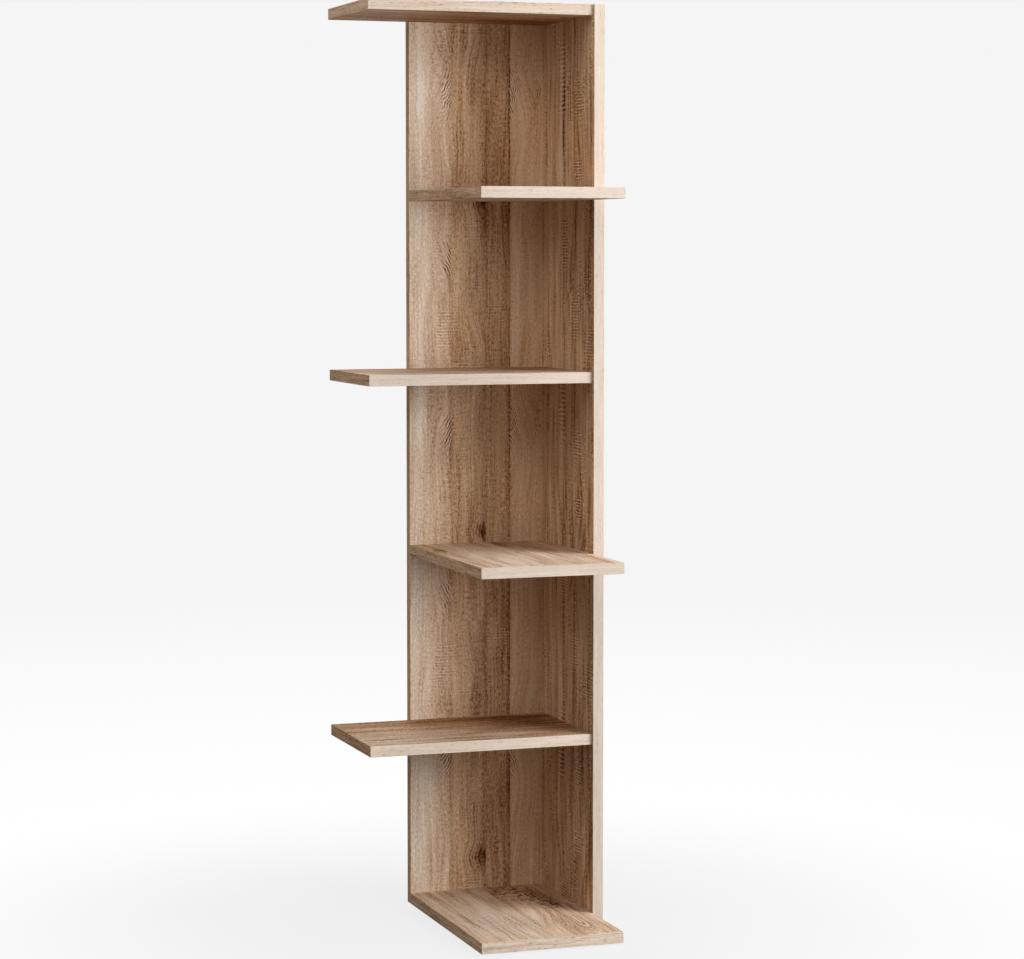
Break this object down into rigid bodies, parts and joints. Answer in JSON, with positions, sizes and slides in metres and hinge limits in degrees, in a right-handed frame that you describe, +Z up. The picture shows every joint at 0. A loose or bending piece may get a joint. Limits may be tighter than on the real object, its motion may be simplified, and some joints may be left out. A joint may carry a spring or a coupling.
{
  "type": "corner bookshelf",
  "caption": "Tall open corner bookshelf: upright boards joined at a right angle make a spine, and plain shelves reach out past it to the left and to the front by turns.",
  "frame": {"origin": "on the floor, under the centre of the square that the boards cover", "axes": "+Z up; +Y towards the wall behind the back panel; +X towards the side panel, which is on the right seen from the front"},
  "size_m": [0.4012, 0.4, 1.521],
  "materials": {
    "oak_decor_board": "matt light oak decor on chipboard",
    "oak_edge_band": "matt pale oak edge band",
    "zinc_steel": "zinc plated",
    "beech": "bare beech",
    "cap_plastic": "matt, tinted to the decor",
    "glide_plastic": "matt"
  },
  "bodies": {
    "root": {"back_panel": "oak_decor_board", "back_panel_bottom_band": "oak_edge_band", "back_panel_left_band": "oak_edge_band", "back_panel_top_band": "oak_edge_band", "back_to_shelf_dowels": "beech", "back_to_shelf_screws": "zinc_steel", "glide_nails": "zinc_steel", "glide_pads": "glide_plastic", "screw_caps": "cap_plastic", "shelf_1": "oak_decor_board", "shelf_1_back_band": "oak_edge_band", "shelf_1_front_band": "oak_edge_band", "shelf_1_left_band": "oak_edge_band", "shelf_2": "oak_decor_board", "shelf_2_front_band": "oak_edge_band", "shelf_2_left_band": "oak_edge_band", "shelf_2_right_band": "oak_edge_band", "shelf_3": "oak_decor_board", "shelf_3_back_band": "oak_edge_band", "shelf_3_front_band": "oak_edge_band", "shelf_3_left_band": "oak_edge_band", "shelf_4": "oak_decor_board", "shelf_4_front_band": "oak_edge_band", "shelf_4_left_band": "oak_edge_band", "shelf_4_right_band": "oak_edge_band", "shelf_5": "oak_decor_board", "shelf_5_back_band": "oak_edge_band", "shelf_5_front_band": "oak_edge_band", "shelf_5_left_band": "oak_edge_band", "shelf_6": "oak_decor_board", "shelf_6_front_band": "oak_edge_band", "shelf_6_left_band": "oak_edge_band", "shelf_6_right_band": "oak_edge_band", "side_panel": "oak_decor_board", "side_panel_back_band": "oak_edge_band", "side_panel_bottom_band": "oak_edge_band", "side_panel_front_band": "oak_edge_band", "side_panel_top_band": "oak_edge_band", "side_to_back_dowels": "beech", "side_to_back_screws": "zinc_steel", "side_to_shelf_dowels": "beech", "side_to_shelf_screws": "zinc_steel", "wall_hanger_plates": "zinc_steel", "wall_hanger_screws": "zinc_steel"}
  },
  "joints": []
}
